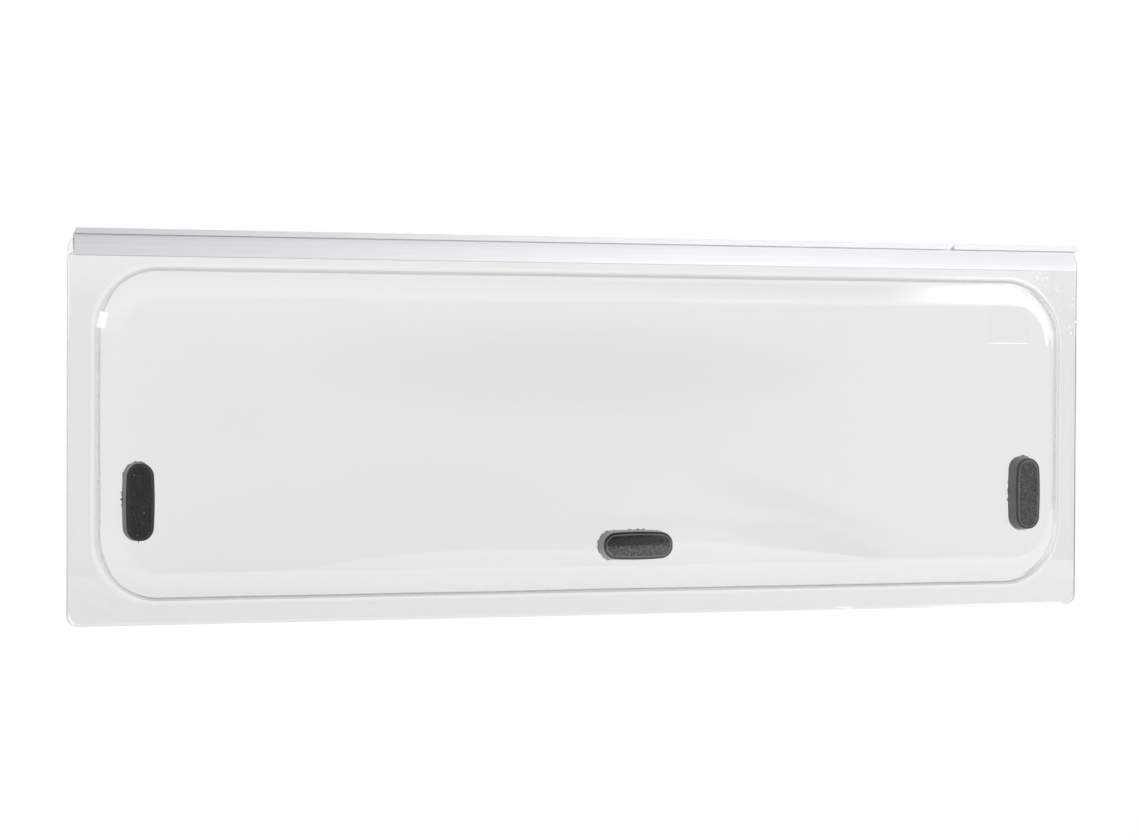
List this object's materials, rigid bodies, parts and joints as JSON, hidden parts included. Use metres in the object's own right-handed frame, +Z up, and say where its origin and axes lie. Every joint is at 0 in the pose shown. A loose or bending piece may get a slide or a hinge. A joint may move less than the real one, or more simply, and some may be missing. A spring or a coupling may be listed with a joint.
{
  "type": "caravan window",
  "caption": "Top-hung acrylic caravan window: blown outer pane bonded to a flat inner pane, aluminium hook rail along the top and plastic blocks between the panes.",
  "frame": {"origin": "middle of the panes, on the flat indoor face of the inner pane", "axes": "+X along the width, to the right seen from outdoors; +Y indoors, out of the inner pane; +Z up, towards the hook rail"},
  "size_m": [1.12, 0.0223, 0.394],
  "materials": {
    "clear_acrylic": "clear cast acrylic, glossy",
    "clear_bond": "cured clear adhesive",
    "mill_aluminium": "extruded, satin anodised",
    "sealant": "cured translucent sealant",
    "black_plastic": "moulded, fine satin grain",
    "block_adhesive": "dark adhesive film with dust specks",
    "label_film": "clear film, bare"
  },
  "bodies": {
    "root": {"outer_pane": "clear_acrylic", "inner_pane": "clear_acrylic", "pane_bond": "clear_bond", "hinge_rail": "mill_aluminium", "rail_sealant": "sealant", "left_stay_block": "black_plastic", "right_stay_block": "black_plastic", "latch_block": "black_plastic", "left_block_adhesive": "block_adhesive", "right_block_adhesive": "block_adhesive", "latch_block_adhesive": "block_adhesive", "blank_label": "label_film"}
  },
  "joints": []
}
